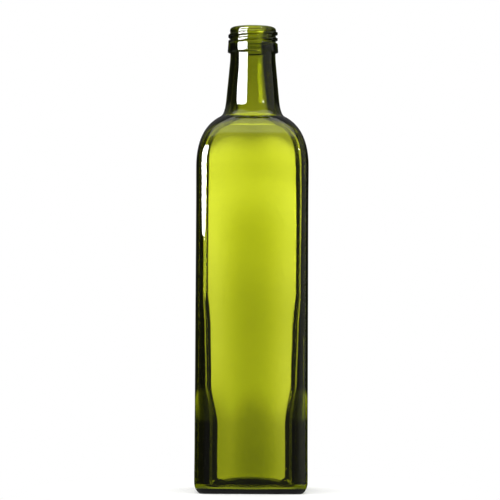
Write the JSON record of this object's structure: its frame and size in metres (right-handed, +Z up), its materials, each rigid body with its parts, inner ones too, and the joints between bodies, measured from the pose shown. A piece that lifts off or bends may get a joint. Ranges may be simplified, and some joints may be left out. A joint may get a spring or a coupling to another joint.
{
  "type": "marasca bottle",
  "caption": "Empty square bottle of clear yellowish green glass with rounded corners, a domed shoulder, a round neck and a screw-thread finish.",
  "frame": {"origin": "centre of the flat ring that the bottle stands on", "axes": "+Z up through the neck; the four panels face +X, -X, +Y and -Y, all alike, and the picture looks along +Y at the -Y panel"},
  "size_m": [0.0678, 0.0678, 0.2826],
  "materials": {
    "green_glass": "clear, smooth, yellowish green through and through"
  },
  "bodies": {
    "root": {"bottle": "green_glass"}
  },
  "joints": []
}
